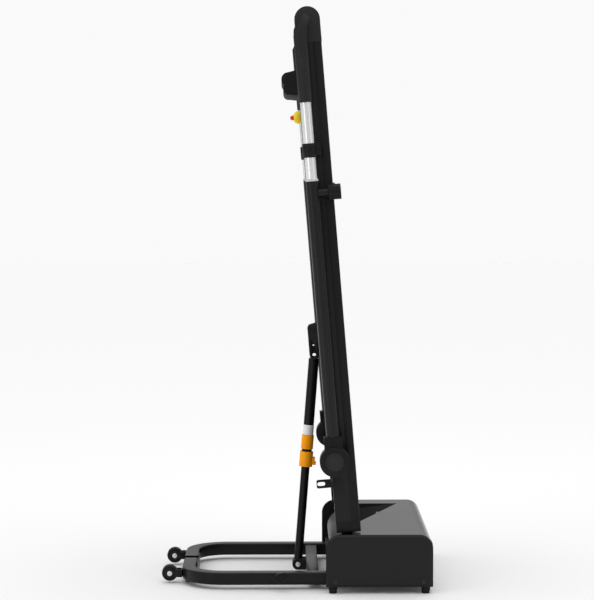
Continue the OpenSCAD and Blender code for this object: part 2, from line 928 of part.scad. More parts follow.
// Moulded bar under the rear of the deck; its round lobe meets the floor in use
module rear_stand() {
  lobe = [stand_tip_n + stand_lobe_r, stand_tip_u];
  heel = [stand_tip_n + stand_heel_r + 3, stand_tip_u - stand_heel];
  root_front = heel[1] - stand_heel_r - 5;
  root_rear = lobe[1] + stand_lobe_r + 5;
  color(dark) in_deck() {
    span([low, -frame_in, root_front], [low + strap_t, frame_in, root_rear]);
    plate(-stand_w / 2, stand_w / 2) difference() {
      union() {
        translate(lobe) circle(stand_lobe_r, $fn = 96);
        translate(heel) circle(stand_heel_r, $fn = 96);
        polygon([
          [low, root_front],
          [heel[0], heel[1] - stand_heel_r],
          [heel[0] - stand_heel_r, heel[1]],
          [heel[0] - stand_heel_r, lobe[1] - stand_lobe_r],
          lobe,
          [lobe[0], lobe[1] + stand_lobe_r],
          [low, root_rear]
        ]);
      }
      translate([heel[0] - stand_heel_r, (lobe[1] + heel[1]) / 2 - 3]) circle(1.6, $fn = 24);
    }
  }
}

// Arms from the fold pins into the side frames, held by two cross bolts
module hinge_arms() {
  color(black) in_deck() both_sides() difference() {
    union() {
      plate(arm_y - arm_t / 2, arm_y + arm_t / 2) {
        circle(eye_r);
        translate([arm_low, 0]) square([arm_w, arm_end]);
      }
      for (u = [arm_end - 80, arm_end - 20]) {
        translate([arm_low + arm_w / 2, 0, u]) {
          across(frame_in + frame_wall, deck_half - frame_wall, arm_bolt_r);
        }
      }
    }
    across(0, big, fold_pin_d / 2 + run_fit);
  }
}

// Strap between the side frames with two cheeks for the head of the strut
module strut_bracket() {
  proud = -57;
  color(black) in_deck() {
    span([low, -frame_in, bracket_u - 40], [low + strap_t, frame_in, bracket_u]);
    both_sides() plate(cheek_in, cheek_in + cheek_t) difference() {
      union() {
        polygon([
          [low + strap_t, strut_u - 4],
          [low + strap_t, bracket_u],
          [low, bracket_u],
          [proud + 4, bracket_u - 6],
          [proud, bracket_u - 14],
          [proud, strut_u]
        ]);
        translate([strut_n, strut_u]) circle(-proud + strut_n);
      }
      translate([strut_n, strut_u]) circle(pin_d / 2);
      translate([strut_n, strut_u + 25]) circle(3);
    }
    span([proud, -cheek_in - cheek_t, bracket_u - 46], [proud + 3, cheek_in + cheek_t, bracket_u - 14]);
    span([low - 1, -cheek_in, bracket_u - 4], [low + strap_t, cheek_in, bracket_u]);
  }
}

// Angle under the right side frame, slotted for the index bolt
module latch_bracket() {
  flange_t = 3;
  corner = 5;
  color(black) in_deck() on_side("right") {
    span([low - flange_t, latch_y - latch_t, latch_u - latch_w / 2],
         [low, frame_in + 10, latch_u + latch_w / 2]);
    plate(latch_y - latch_t, latch_y) difference() {
      union() {
        translate([latch_low + corner, latch_u - latch_w / 2]) {
          square([low - latch_low - corner, latch_w]);
        }
        round_box([latch_low, latch_u - latch_w / 2], [latch_low + 20, latch_u + latch_w / 2], corner);
      }
      translate([latch_n - slot_len / 2 + slot_w / 2, latch_u - slot_w / 2]) {
        square([slot_len - slot_w, slot_w]);
      }
      for (end = [-1, 1]) {
        translate([latch_n + end * (slot_len - slot_w) / 2, latch_u]) circle(slot_w / 2);
      }
    }
  }
}

// Drum of steel tube with pierced end plugs, axle and, in front, the belt pulley
module roller(u, with_pulley) {
  drum_half = belt_half - 2;
  wall = 2;
  plug = 8;
  hole_r = 4;
  hole_at = axle_d / 2 + hole_r + 4;
  color(steel) in_deck() translate([roller_n, 0, u]) {
    difference() {
      union() {
        across(-drum_half, drum_half, roller_r);
        if (with_pulley) {
          across(drum_half, pulley_y + 1, roller_pulley_r - 4);
          across(pulley_y, pulley_y + pulley_w, roller_pulley_r);
        }
      }
      across(-drum_half + plug, drum_half - plug, roller_r - wall);
      for (turn = [0 : 90 : 270]) {
        rotate([0, turn, 0]) translate([hole_at, 0, 0]) across(-big, big, hole_r);
      }
    }
    across(-frame_in - 10, frame_in + 10, axle_d / 2);
  }
}

module front_roller() {
  roller(front_roller_u, true);
}

module rear_roller() {
  roller(rear_roller_u, false);
}

// ---- Handrails ----

// Weld stud with a spacer against the frame and a head inside the pivot housing
module handrail_pivots() {
  color(steel) in_deck() both_sides() translate([-handrail_drop, 0, handrail_u]) {
    across(deck_half - frame_wall, housing_out - 8, handrail_pin_d / 2);
    across(deck_half, housing_in - part_gap, handrail_pin_d / 2 + 2);
    across(housing_out - 8, housing_out - 5, handrail_pin_d / 2 + 4);
  }
}

// Round pivot housing with a grooved collar for the lower tube
module socket(side) {
  half = socket_square / 2;
  face = 17.5;
  groove = 2.4;
  deep = 1.2;
  pitch = socket_square / (socket_grooves + 1);
  stud_r = handrail_pin_d / 2;
  color(black) in_handrail(side) difference() {
    union() {
      across(housing_in - handrail_y, housing_out - handrail_y, housing_r, $fn = 96);
      span([-half, -face, 20], [half, face, socket_len]);
    }
    for (i = [1 : socket_grooves], y = [-face - 1, face - deep]) {
      x = -half + i * pitch;
      span([x - groove / 2, y, housing_r], [x + groove / 2, y + deep + 1, socket_len + 1]);
    }
    across(-big, housing_out - 8 - handrail_y, stud_r + run_fit);
    across(housing_out - 8 - part_gap - handrail_y, housing_out - 5 + part_gap - handrail_y, stud_r + 5);
    translate([0, 0, socket_len - 16]) cylinder(d = lower_d, h = big);
  }
}

// Lower tube with the threaded boss of its lock knob
module lower_tube(side) {
  wall = (lower_d - inner_d) / 2 - slip;
  color(black) in_handrail(side) difference() {
    union() {
      cylinder_between(lower_d / 2, socket_len - 16, lower_top);
      translate([0, 0, knob_s]) outward(0, knob_boss_out, knob_boss_d / 2);
    }
    cylinder_between(lower_d / 2 - wall, socket_len - 17, lower_top + 1);
    translate([0, 0, knob_s]) outward(0, big, knob_screw_d / 2 + run_fit);
  }
}

// Flared ring in the mouth of the lower tube
module bushing(side) {
  color(steel) in_handrail(side) difference() {
    union() {
      cylinder_between(lower_d / 2 + 0.6, lower_top, lower_top + bushing_len / 2);
      translate([0, 0, lower_top + bushing_len / 2]) {
        cylinder(r1 = lower_d / 2 + 0.6, r2 = lower_d / 2 - 0.8, h = bushing_len / 2);
      }
    }
    cylinder_between(inner_d / 2 + 0.08, lower_top - 1, lower_top + bushing_len + 1);
  }
}

// Fluted knob on a screw that clamps the inner tube
module lock_knob(side) {
  flute_r = 3;
  color(dark) in_handrail(side) translate([0, 0, knob_s]) {
    outward(inner_d / 2 + 0.6, knob_boss_out + 2, knob_screw_d / 2);
    difference() {
      outward(knob_boss_out + 1, knob_out, knob_d / 2);
      for (i = [0 : knob_flutes - 1]) {
        rotate([i * 360 / knob_flutes, 0, 0]) translate([0, 0, knob_d / 2 + 1]) {
          outward(knob_boss_out, knob_out - 4, flute_r, $fn = 24);
        }
      }
      outward(knob_out - 2, knob_out + 1, knob_d / 2 - 6);
    }
  }
}

module inner_tube(side) {
  color(steel) in_handrail(side) tube(inner_d / 2, 1.5, inner_start, inner_end);
}

// Split clip round the inner tube with a round lug towards the foot rail
module clip(side) {
  color(dark) in_handrail(side) difference() {
    union() {
      cylinder_between(clip_r, clip_s, clip_s + clip_len);
      translate([0, 0, clip_s + clip_len * 0.6]) {
        plate(-5, 5) {
          intersection() {
            translate([clip_lug_out, 0]) circle(clip_lug_r);
            translate([0, -clip_len * 0.6]) square([clip_lug_out + 6, clip_len]);
          }
          translate([inner_d / 2, -9]) square([clip_lug_out - inner_d / 2, 18]);
        }
      }
    }
    cylinder_between(inner_d / 2, clip_s - 1, clip_s + clip_len + 1);
    translate([clip_lug_out, 0, clip_s + clip_len * 0.6]) across(-big, big, 2.2);
  }
}

// Foam sleeve that flattens into a blade, cut back on one side and curved to the other
module grip(side) {
  blade_start = grip_start + grip_len - 2 * blade_len;
  tip = grip_start + grip_len;
  color(dark) in_handrail(side) difference() {
    union() {
      cylinder_between(grip_r, grip_start, blade_start);
      intersection() {
        hull() {
          translate([0, 0, blade_start - 1]) cylinder(r = grip_r, h = 1, $fn = 48);
          translate([6, 0, tip - blade_len]) oval_slice(24, 14);
          translate([8, 0, tip - 1]) oval_slice(24, 9);
        }
        plate(-grip_r, grip_r) polygon([
          [-grip_r, blade_start - 1],
          [-grip_r, tip - blade_len + 2],
          [13, tip],
          [19, tip],
          [28, tip - 9],
          [18, tip - 34],
          [grip_r, tip - 60],
          [grip_r, blade_start - 1]
        ]);
      }
    }
    cylinder_between(inner_d / 2, grip_start - 1, inner_end);
    translate([5, 12, tip - 19]) rotate([0, 72.5, 71.6]) span([-big, -big, 0], [big, big, big]);
  }
}

// Tapered housing of the stop button, strapped to the left inner tube
module e_stop_housing() {
  r = e_stop_len / 2;
  color([0.8, 0.74, 0.2]) in_handrail("left") translate([0, 0, e_stop_s]) difference() {
    union() {
      cylinder_between(inner_d / 2 + 2.5, -r + 3, r - 3);
      rotate([0, -90, 0]) rotate_extrude() {
        polygon([
          [0, 0], [r, 0], [r, e_stop_out - 11], [r - 1.5, e_stop_out - 7],
          [r - 4.5, e_stop_out - 3], [r - 7.5, e_stop_out], [0, e_stop_out]
        ]);
      }
    }
    cylinder_between(inner_d / 2, -r - 1, r + 1);
    outward(-big, -inner_d / 2 + 1, button_r + part_gap);
  }
}

// Rounded stop button that is pushed towards the tube
module e_stop_button() {
  root = inner_d / 2 + button_travel + part_gap;
  color([0.8, 0.12, 0.12]) in_handrail("left") translate([0, 0, e_stop_s]) {
    rotate([0, -90, 0]) rotate_extrude() {
      polygon([
        [0, root], [button_r, root], [button_r, button_out - 8],
        [button_r - 0.8, button_out - 4.5], [button_r - 2, button_out - 2],
        [button_r - 3.5, button_out - 0.5], [0, button_out]
      ]);
    }
  }
}

// ---- Strut ----

module strut_lower_tube() {
  r = strut_lower_d / 2;
  color(black) in_strut() difference() {
    union() {
      across(-r, r, 14);
      cylinder_between(r, 0, strut_lower_len);
    }
    across(-big, big, pin_d / 2 + run_fit);
    cylinder_between(gas_r + 0.5, strut_plug, strut_lower_len + 1);
  }
}

module gas_rod() {
  color(steel) in_strut() cylinder_between(gas_rod_r, strut_plug, strut_lower_len - 10);
}

module gas_cylinder() {
  color(dark) in_strut() difference() {
    cylinder_between(gas_r, gas_top - gas_len, gas_top);
    cylinder_between(gas_rod_r + part_gap, gas_top - gas_len - 1, gas_top - 6);
  }
}

// Upper tube with its eye and the ring that stops the release collar
module strut_upper_tube() {
  r = strut_upper_d / 2;
  color(black) in_strut() difference() {
    union() {
      cylinder_between(r, upper_start, strut_len - 10);
      translate([0, 0, strut_len]) across(-10, 10, strut_eye_r);
      cylinder_between(r + 2, stop_start, stop_start + 6);
    }
    cylinder_between(strut_lower_d / 2 + slip, upper_start - 1, gas_top);
    translate([0, 0, strut_len]) across(-big, big, pin_d / 2);
  }
}

// Sprung collar that is pushed up by its tab to unlock the strut
module release_collar() {
  r = strut_upper_d / 2 + part_gap;
  color([1, 0.65, 0.1]) in_strut() difference() {
    union() {
      cylinder_between(collar_r, collar_start, collar_start + collar_len);
      span([0, -8, collar_start + 6], [collar_r + 6, 8, collar_start + 26]);
      span([0, -8, collar_start + 6], [collar_r + 9, 8, collar_start + 14]);
    }
    cylinder_between(r, collar_start - 1, collar_start + collar_len + 1);
  }
}

base_frame_right();
base_frame_left();
cross_member();
hood_chassis();
fold_pins();
wheel_forks();
axle_pins();
side_panel("right");  // side_panel_right
side_panel("left");  // side_panel_left
hood_cover();
motor_shroud();
panel_screws();
feet();
motor();
control_board();
power_inlet();
display_window();
motor_pulley();
power_switch();
index_bolt();
wheel("right");  // wheel_right
wheel("left");  // wheel_left
side_frame("right");  // side_frame_right
side_frame("left");  // side_frame_left
foot_rails();
front_caps();
rear_caps();
running_board();
running_belt();
deck_cushions();
deck_cross_members();
rear_stand();
hinge_arms();
strut_bracket();
latch_bracket();
drive_belt();
handrail_pivots();
front_roller();
rear_roller();
socket("right");  // socket_right
lower_tube("right");  // lower_tube_right
bushing("right");  // bushing_right
lock_knob("right");  // lock_knob_right
inner_tube("right");  // inner_tube_right
clip("right");  // clip_right
grip("right");  // grip_right
socket("left");  // socket_left
lower_tube("left");  // lower_tube_left
bushing("left");  // bushing_left
lock_knob("left");  // lock_knob_left
inner_tube("left");  // inner_tube_left
clip("left");  // clip_left
grip("left");  // grip_left
e_stop_housing();
e_stop_button();
strut_lower_tube();
gas_rod();
gas_cylinder();
strut_upper_tube();
release_collar();
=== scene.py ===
# %% [markdown]
# # A treadmill that stands up to be stored
# A compact home treadmill folds until its deck stands on end over a U-shaped base. The
# mechanism comes from a CAD model that already has every solid and joint. This lesson
# gives it soft edges, moulded details and finishes. The model is loaded as a frame, and
# each new piece takes its place from the CAD node that it stands for.

# %% Load the frame
import math

import bmesh
import bpy
from mathutils import Matrix, Vector
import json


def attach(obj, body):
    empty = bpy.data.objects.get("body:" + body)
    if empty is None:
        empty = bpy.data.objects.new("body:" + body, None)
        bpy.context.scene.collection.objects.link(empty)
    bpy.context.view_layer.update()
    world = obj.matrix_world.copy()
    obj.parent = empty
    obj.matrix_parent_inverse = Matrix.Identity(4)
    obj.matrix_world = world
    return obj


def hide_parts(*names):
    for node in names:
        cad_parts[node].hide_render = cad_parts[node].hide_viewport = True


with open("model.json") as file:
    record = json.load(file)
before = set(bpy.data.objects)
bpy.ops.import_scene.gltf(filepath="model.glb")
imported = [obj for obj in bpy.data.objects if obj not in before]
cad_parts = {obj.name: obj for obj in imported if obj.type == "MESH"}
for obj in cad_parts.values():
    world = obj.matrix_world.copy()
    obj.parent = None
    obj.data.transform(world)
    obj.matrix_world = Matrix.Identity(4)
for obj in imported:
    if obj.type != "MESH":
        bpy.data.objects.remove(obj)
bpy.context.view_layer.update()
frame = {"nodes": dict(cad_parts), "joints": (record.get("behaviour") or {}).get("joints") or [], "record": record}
joints = {joint["name"]: joint for joint in frame["joints"]}

# %% [markdown]
# The deck leans a little, and so do the handrails and the strut. It is far easier to
# model them upright and turn them afterwards. Each leaning group gets a set of axes: Z
# along it, Y across the machine and X out of the running surface. A joint knows where
# its group sits and which way it slides, so the axes are read from the joints.

# %% Axes of the leaning groups
def axes_along(place, up):
    up = Vector(up).normalized()
    across = Vector((0, 1, 0))
    out = across.cross(up)
    turn = Matrix((out, across, up)).transposed().to_4x4()
    return Matrix.Translation(Vector(place)) @ turn


fold_pin = Vector(joints["deck_fold"]["pos_m"])
rail_way = joints["post_slide_right"]["axis"]
FLOOR = Matrix.Translation(Vector((fold_pin.x, 0, 0)))
DECK = axes_along(fold_pin, rail_way)
STRUT = axes_along(joints["strut_swing"]["pos_m"], joints["strut_slide"]["axis"])
RAIL = {s: axes_along(joints["handrail_fold_" + s]["pos_m"], rail_way) for s in ("right", "left")}
SIGN = {"right": -1, "left": 1}
deck_lean = math.atan2(-rail_way[0], rail_way[2])
print("deck leans", round(math.degrees(deck_lean), 2), "degrees")


# %% How far a CAD node reaches in a group's axes
def extent(node, axes):
    back = axes.inverted()
    points = [back @ v.co for v in frame["nodes"][node].data.vertices]
    low = Vector([min(p[i] for p in points) for i in range(3)])
    high = Vector([max(p[i] for p in points) for i in range(3)])
    return low, high


print("deck plate", [round(v, 4) for v in extent("side_frame_right", DECK)[1]])

# %% [markdown]
# The camera stands well back with a long lens, almost square to the machine's right
# side and tipped down by three degrees, so that only the tops of the base and the hood
# show. Nothing in the model depends on it.

# %% Camera
CAMERA_PLACE = (-0.0302, -5.64, 1.054)
CAMERA_DOWN = 3.342
CAMERA_ROLL = 0.087
CAMERA_TURN = -0.344
CAMERA_LENS = 128.745
scene = bpy.context.scene
camera_data = bpy.data.cameras.new("camera")
camera = bpy.data.objects.new("camera", camera_data)
scene.collection.objects.link(camera)
camera.location = CAMERA_PLACE
camera.rotation_euler = [math.radians(a) for a in (90 - CAMERA_DOWN, CAMERA_ROLL, CAMERA_TURN)]
camera_data.lens = CAMERA_LENS
camera_data.sensor_width = 36
scene.camera = camera
scene.view_settings.view_transform = "Standard"
print("camera at", tuple(camera.location))

# %% [markdown]
# The studio is a plain pale floor and a plain pale backdrop. What lights the machine is a
# room that is bright above and dim at eye level, because black plastic shows its form by
# what it reflects: with an even white room every side would be the same flat grey. Only
# reflections and shading see that room, and the camera sees the plain backdrop. Two tall
# soft boxes draw a soft line down each tube, and the paper on the floor glows a little so
# that it stays as pale as the backdrop.

# %% Soft boxes
def soft_box(name, place, target, width, height, power):
    data = bpy.data.lights.new(name, "AREA")
    data.shape = "RECTANGLE"
    data.size = width
    data.size_y = height
    data.energy = power
    lamp = bpy.data.objects.new(name, data)
    scene.collection.objects.link(lamp)
    lamp.location = place
    lamp.rotation_euler = (Vector(target) - Vector(place)).to_track_quat("-Z", "Y").to_euler()


# Each has its place, the point it is aimed at, its width, height and power in watts.
soft_box("overhead", (0.4, 0.6, 3.4), (0, 0, 0), 3, 3, 12)
soft_box("key", (-3.2, -2.6, 2.4), (0, 0, 0.7), 2.0, 2.0, 4)
soft_box("tall_left", (-1.9, -2.6, 0.9), (0, 0, 0.8), 0.3, 2.2, 6)
soft_box("tall_right", (2.4, -1.7, 1.0), (0.1, 0, 0.8), 0.25, 2.2, 2.5)

# %% The room and the backdrop
BACKDROP = 0.95
ROOM_HEIGHT = 0.8
ROOM_DIM = 0.22
ROOM_BRIGHT = 1.55
world = bpy.data.worlds.new("surround")
scene.world = world
world.use_nodes = True
sky = world.node_tree
backdrop = sky.nodes["Background"]
backdrop.inputs["Color"].default_value = (BACKDROP, BACKDROP, BACKDROP, 1)
room = sky.nodes.new("ShaderNodeBackground")
room.inputs["Color"].default_value = (1, 1, 1, 1)
direction = sky.nodes.new("ShaderNodeTexCoord")
split = sky.nodes.new("ShaderNodeSeparateXYZ")
height = sky.nodes.new("ShaderNodeMapRange")
height.inputs["From Min"].default_value = 0.0
height.inputs["From Max"].default_value = ROOM_HEIGHT
height.inputs["To Min"].default_value = ROOM_DIM
height.inputs["To Max"].default_value = ROOM_BRIGHT
ray = sky.nodes.new("ShaderNodeLightPath")
choice = sky.nodes.new("ShaderNodeMixShader")
sky.links.new(direction.outputs["Generated"], split.inputs[0])
sky.links.new(split.outputs["Z"], height.inputs["Value"])
sky.links.new(height.outputs["Result"], room.inputs["Strength"])
sky.links.new(ray.outputs["Is Camera Ray"], choice.inputs[0])
sky.links.new(room.outputs[0], choice.inputs[1])
sky.links.new(backdrop.outputs[0], choice.inputs[2])
sky.links.new(choice.outputs[0], sky.nodes["World Output"].inputs["Surface"])
print("room from", ROOM_DIM, "to", ROOM_BRIGHT)

# %% Floor
FLOOR_SIZE = 40
PAPER = (0.72, 0.72, 0.72, 1)
PAPER_ROUGH = 0.9
PAPER_GLOW = 0.03
bpy.ops.mesh.primitive_plane_add(size=FLOOR_SIZE, location=(0, 0, 0))
floor = bpy.context.object
floor.name = "studio_floor"
paper = bpy.data.materials.new("studio_paper")
paper.use_nodes = True
sheet = paper.node_tree.nodes["Principled BSDF"]
sheet.inputs["Base Color"].default_value = PAPER
sheet.inputs["Roughness"].default_value = PAPER_ROUGH
sheet.inputs["Emission Color"].default_value = (1, 1, 1, 1)
sheet.inputs["Emission Strength"].default_value = PAPER_GLOW
floor.data.materials.append(paper)
print("floor", FLOOR_SIZE, "m square")

# %% [markdown]
# ## Finishes
# Shader nodes are a sum written with wires. Wrapping an output in a small class lets
# Python write that sum as a sum: the class adds the Math nodes itself. A recipe is one
# material with the few node patterns that every finish here needs.


# %% Sums on sockets
class Channel:
    """An output of a node, which adds and multiplies like a number."""

    def __init__(self, recipe, socket):
        self.recipe = recipe
        self.socket = socket

    def sum(self, operation, first, second):
        return self.recipe.node("ShaderNodeMath", {"operation": operation}, {0: first, 1: second})

    def __add__(self, other):
        return self.sum("ADD", self, other)

    def __radd__(self, other):
        return self.sum("ADD", other, self)

    def __sub__(self, other):
        return self.sum("SUBTRACT", self, other)

    def __rsub__(self, other):
        return self.sum("SUBTRACT", other, self)

    def __mul__(self, other):
        return self.sum("MULTIPLY", self, other)

    def __rmul__(self, other):
        return self.sum("MULTIPLY", other, self)

    def larger(self, other):
        return self.sum("MAXIMUM", self, other)


print("sums written")


# %% A recipe: one material and its node patterns
class Recipe:
    """A material whose surface shader is fed by sums of patterns."""

    def __init__(self, name, **fixed):
        self.material = bpy.data.materials.new(name)
        self.material.use_nodes = True
        self.tree = self.material.node_tree
        self.surface = self.tree.nodes["Principled BSDF"]
        for socket, value in fixed.items():
            self.surface.inputs[socket.replace("_", " ")].default_value = value

    def node(self, kind, settings, inputs, output=0):
        made = self.tree.nodes.new(kind)
        for setting, value in settings.items():
            setattr(made, setting, value)
        for key, value in inputs.items():
            if isinstance(value, Channel):
                self.tree.links.new(value.socket, made.inputs[key])
            else:
                made.inputs[key].default_value = value
        return Channel(self, made.outputs[output])

    def place(self, stretch=(1, 1, 1), lean=0.0):
        point = self.node("ShaderNodeTexCoord", {}, {}, "Object")
        turned = {"Vector": point, "Rotation": (0, lean, 0), "Scale": stretch}
        return self.node("ShaderNodeMapping", {}, turned)

    def noise(self, scale, detail=2.0, where=None):
        fed = {"Vector": where or self.place(), "Scale": scale, "Detail": detail}
        return self.node("ShaderNodeTexNoise", {}, fed)

    def cells(self, scale, **settings):
        fed = {"Vector": self.place(), "Scale": scale}
        return self.node("ShaderNodeTexVoronoi", settings, fed)

    def step(self, value, start, end):
        """0 below start, 1 above end, and a straight ramp between."""
        limits = {"Value": value, "From Min": start, "From Max": end}
        return self.node("ShaderNodeMapRange", {}, limits)

    def mix(self, factor, first, second):
        fed = {0: factor, 6: first, 7: second}
        return self.node("ShaderNodeMix", {"data_type": "RGBA"}, fed, 2)

    def feed(self, socket, value):
        self.tree.links.new(value.socket, self.surface.inputs[socket])

    def bump(self, height, depth):
        self.feed("Normal", self.node("ShaderNodeBump", {}, {"Height": height, "Distance": depth}))


def grey(level):
    return (level, level, level, 1)


finish = {}
print("recipe written")

# %% [markdown]
# Powder coat is paint that was melted on: it is smooth to the hand but has a very fine
# orange peel, and it thins on sharp edges. Noise about a millimetre across gives the
# peel. The Pointiness of the geometry finds the edges, where the coat turns a shade
# lighter. Broad, faint clouds keep the roughness from being one dead value.


# %% Powder-coated steel
DULL = 0.17


def powder_coat(name, level, rough):
    coat = Recipe(name, Specular_IOR_Level=DULL)
    peel = coat.noise(900)
    cloud = coat.noise(9, 3)
    edge = coat.step(coat.node("ShaderNodeNewGeometry", {}, {}, "Pointiness"), 0.53, 0.62)
    body = coat.mix(cloud, grey(level * 0.8), grey(level * 1.25))
    coat.feed("Base Color", coat.mix(edge * 0.5, body, grey(level * 3)))
    coat.feed("Roughness", rough + cloud * 0.1 - edge * 0.08)
    coat.bump(peel, 0.00003)
    return coat.material


finish["frame_paint"] = powder_coat("powder_coat_black", 0.006, 0.26)
finish["motor_case"] = powder_coat("motor_lacquer", 0.010, 0.24)
print("coats", sorted(finish))

# %% [markdown]
# Moulded covers are spark-eroded in the mould, which leaves a grain like very fine
# leather. A Voronoi pattern under a millimetre across gives its rounded cells, and a
# second, finer noise roughens them. Smooth mouldings use the same recipe with the
# grain almost gone.


# %% Moulded plastic
def moulded(name, colour, rough, grain_size, grain_depth, shine=0.5):
    plastic = Recipe(name, Specular_IOR_Level=shine)
    cells = plastic.cells(1 / grain_size)
    fine = plastic.noise(2.5 / grain_size)
    cloud = plastic.noise(6, 3)
    darker = [c * 0.86 for c in colour[:3]] + [1]
    lighter = [c * 1.14 for c in colour[:3]] + [1]
    plastic.feed("Base Color", plastic.mix(cloud * 0.7 + fine * 0.3, darker, lighter))
    plastic.feed("Roughness", rough + cloud * 0.08 + fine * 0.06)
    plastic.bump(cells + fine * 0.5, grain_depth)
    return plastic.material


# Each has a name, a grey level, roughness, grain size and depth in metres, and shine.
grey_mouldings = {
    "hood_plastic": ("hood_side_grain", 0.008, 0.22, 0.0009, 0.00002, 0.20),
    "hood_gloss": ("hood_top_satin", 0.018, 0.14, 0.0007, 0.00001, 0.5),
    "trim_plastic": ("trim_black", 0.006, 0.32, 0.0008, 0.00005, 0.17),
    "cap_plastic": ("end_cap_grain", 0.016, 0.44, 0.0010, 0.00008, 0.22),
    "bushing_plastic": ("bushing_grey", 0.5, 0.4, 0.0012, 0.00003, 0.5),
    "wheel_tyre": ("wheel_tyre", 0.009, 0.55, 0.0014, 0.00008, 0.2),
    "wheel_hub": ("wheel_hub", 0.02, 0.35, 0.0010, 0.00003, 0.3),
    # The pocket sheet's near-black matt colour is painted shade.
    "pocket_painted_shade": ("pocket_painted_shade", 0.004, 0.78, 0.0008, 0.00005, 0.06),
}
for slot, (name, level, *surface) in grey_mouldings.items():
    finish[slot] = moulded(name, grey(level), *surface)
print("plastics", len(grey_mouldings))

# %% Glossy coloured mouldings
# Each has a colour, roughness, grain size and depth in metres, and shine.
coloured_mouldings = {
    "switch_red": ((0.45, 0.012, 0.012, 1), 0.2, 0.003, 0.00001, 0.5),
    "stop_yellow": ((0.95, 0.70, 0.012, 1), 0.3, 0.002, 0.00002, 0.3),
    "stop_red": ((0.85, 0.02, 0.02, 1), 0.28, 0.002, 0.00002, 0.3),
    "collar_orange": ((1.0, 0.37, 0.003, 1), 0.33, 0.002, 0.00003, 0.2),
    "label_orange": ((1.0, 0.35, 0.001, 1), 0.4, 0.004, 0.00001, 0.15),
    "label_white": ((0.82, 0.82, 0.80, 1), 0.42, 0.004, 0.00001, 0.5),
}
for slot, surface in coloured_mouldings.items():
    finish[slot] = moulded(slot, *surface)
print("coloured mouldings", len(coloured_mouldings))

# %% [markdown]
# Rubber, foam and the belt scatter light instead of mirroring it. Foam has open pores,
# which a Voronoi pattern pushed downwards gives, and the pits are coloured darker as painted
# shade. The belt carries a pressed diamond pattern: two slanted ridges cross at three
# millimetres, drawn in the deck's own axes so that it runs square to the belt, with painted
# shade darkening the grooves and long faint streaks where feet have polished it.


# %% Rubber and foam
def matt_rubber(name, level, rough, size, depth):
    rubber = Recipe(name, Specular_IOR_Level=DULL)
    skin = rubber.noise(1 / size, 4)
    cloud = rubber.noise(14, 2)
    patches = skin * 0.5 + cloud * 0.5
    rubber.feed("Base Color", rubber.mix(patches, grey(level * 0.75), grey(level * 1.3)))
    rubber.feed("Roughness", rough + skin * 0.15)
    rubber.bump(skin, depth)
    return rubber.material


def closed_foam(name, level):
    foam = Recipe(name, Specular_IOR_Level=0.2)
    pores_and_shade = foam.step(foam.cells(650.0), 0.0, 0.35)
    rub = foam.noise(25, 3)
    # The pore pits are coloured darker as painted shade.
    foam.feed("Base Color", foam.mix(pores_and_shade, grey(level * 0.55), grey(level * 1.1)))
    foam.feed("Roughness", 0.36 + rub * 0.16)
    foam.bump(pores_and_shade + foam.noise(1500) * 0.4, 0.00012)
    return foam.material


finish["rubber"] = matt_rubber("rubber_matt", 0.009, 0.6, 0.0012, 0.0001)
finish["foam"] = closed_foam("grip_foam", 0.012)
print("soft finishes made")


# %% Running belt
def belt_surface(name, level, pitch):
    belt = Recipe(name, Specular_IOR_Level=0.3)
    where = belt.place(lean=deck_lean)
    across = belt.node("ShaderNodeSeparateXYZ", {}, {0: where}, "Y")
    along = belt.node("ShaderNodeSeparateXYZ", {}, {0: where}, "Z")
    turn = math.pi / pitch
    one = belt.node("ShaderNodeMath", {"operation": "SINE"}, {0: (across + along) * turn})
    two = belt.node("ShaderNodeMath", {"operation": "SINE"}, {0: (across - along) * turn})
    ridges_and_shade = (one * one).larger(two * two)
    polish = belt.noise(5, 3, belt.place((1, 9, 0.6), deck_lean))
    # The grooves between the ridges are coloured darker as painted shade.
    belt.feed("Base Color", belt.mix(ridges_and_shade, grey(level * 0.6), grey(level * 1.25)))
    belt.feed("Roughness", 0.62 - polish * 0.22)
    belt.bump(ridges_and_shade + belt.noise(1200) * 0.3, 0.00025)
    return belt.material


finish["belt_pvc"] = belt_surface("belt_diamond", 0.018, 0.003)
print("belt made")

# %% [markdown]
# Metals differ by how they were worked. The inner handrail tubes were drawn through a
# die, so their noise is stretched along the tube. Turned rollers carry fine rings, and
# zinc plating shows soft, cloudy crystals. All of them are one recipe: the stretch of
# its noise and the strength of its crystals make the difference.


# %% Bare metals
def worked_metal(name, level, rough, stretch, lean, metallic, crystals=0.0):
    metal = Recipe(name)
    lines = metal.noise(1.0, 3, metal.place(stretch, lean))
    cloud = metal.noise(30, 2)
    metal.feed("Base Color", metal.mix(cloud * 0.6 + lines * 0.4, grey(level * 0.9), grey(level)))
    metal.feed("Metallic", metallic + cloud * 0.06)
    metal.feed("Roughness", rough + lines * 0.05 + metal.cells(400.0) * crystals)
    metal.bump(lines, 0.000004)
    return metal.material


finish["silver_tube"] = worked_metal("silver_tube", 0.95, 0.24, (2500, 2500, 12), deck_lean, 0.7)
finish["steel_roller"] = worked_metal("steel_turned", 0.6, 0.28, (40, 3500, 40), 0, 0.9)
finish["zinc"] = worked_metal("zinc_plate", 0.72, 0.3, (300, 300, 300), 0, 0.85, 0.2)
finish["dark_zinc"] = worked_metal("black_oxide", 0.03, 0.34, (500, 500, 500), 0, 0.6, 0.2)
print("metals made")


# %% Board, lens and circuit board
def fibre_board(name):
    board = Recipe(name, Specular_IOR_Level=0.3)
    fibres = board.noise(1, 5, board.place((500, 60, 500), deck_lean))
    board.feed("Base Color", board.mix(fibres, (0.03, 0.022, 0.016, 1), (0.075, 0.055, 0.04, 1)))
    board.feed("Roughness", 0.55 + fibres * 0.2)
    board.bump(fibres, 0.0001)
    return board.material


